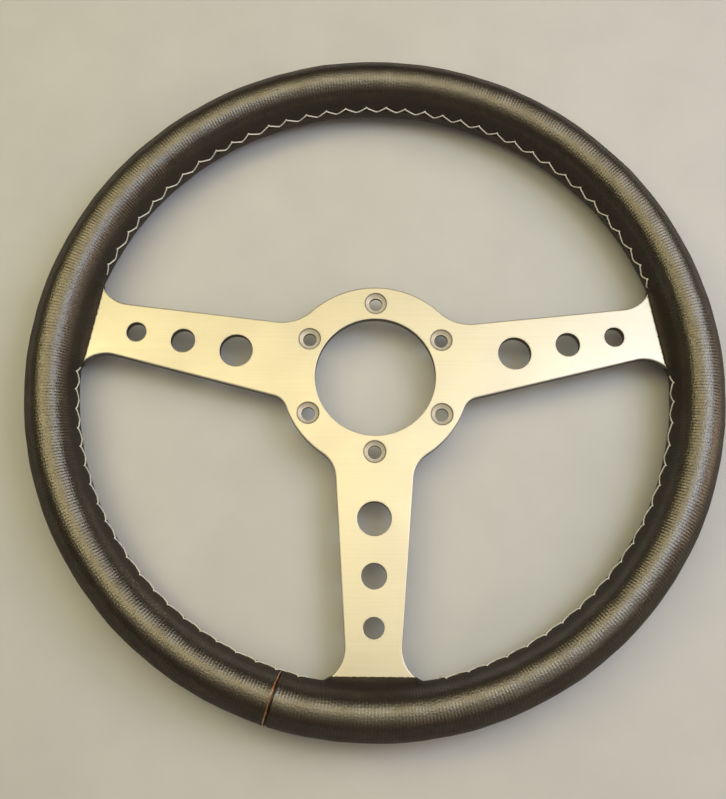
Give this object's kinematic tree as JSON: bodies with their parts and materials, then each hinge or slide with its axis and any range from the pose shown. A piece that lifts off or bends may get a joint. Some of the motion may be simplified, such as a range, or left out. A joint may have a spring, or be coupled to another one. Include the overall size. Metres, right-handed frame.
{
  "type": "steering wheel",
  "caption": "Flat three-spoke competition steering wheel: drilled brushed aluminium plate with a round six-hole hub, and an oval leather-covered rim with sewn inner seam.",
  "frame": {"origin": "centre of the six-hole bolt circle, on the flat rear mounting face of the hub", "axes": "+Z out of the front face towards the driver, +Y to twelve o'clock (the gap opposite the lower spoke), +X to the driver's right"},
  "size_m": [0.318, 0.318, 0.0316],
  "materials": {
    "brushed_plate": "fine brushed, clear anodised, softly rounded front edges",
    "hoop_steel": "plain rolled steel",
    "rivet_metal": "set rivet",
    "moulded_foam": "firm moulded foam with a closed skin",
    "rim_leather": "semi-gloss fine-ribbed dark brown-black leather",
    "seam_thread": "waxed light grey thread",
    "seam_binding": "raw tan cut edge of the leather"
  },
  "bodies": {
    "root": {"spoke_plate": "brushed_plate", "rim_hoop": "hoop_steel", "hoop_rivets": "rivet_metal", "rim_core": "moulded_foam", "leather_cover": "rim_leather", "stitching_top": "seam_thread", "stitching_left": "seam_thread", "stitching_right": "seam_thread", "cross_seam_binding": "seam_binding"}
  },
  "joints": []
}
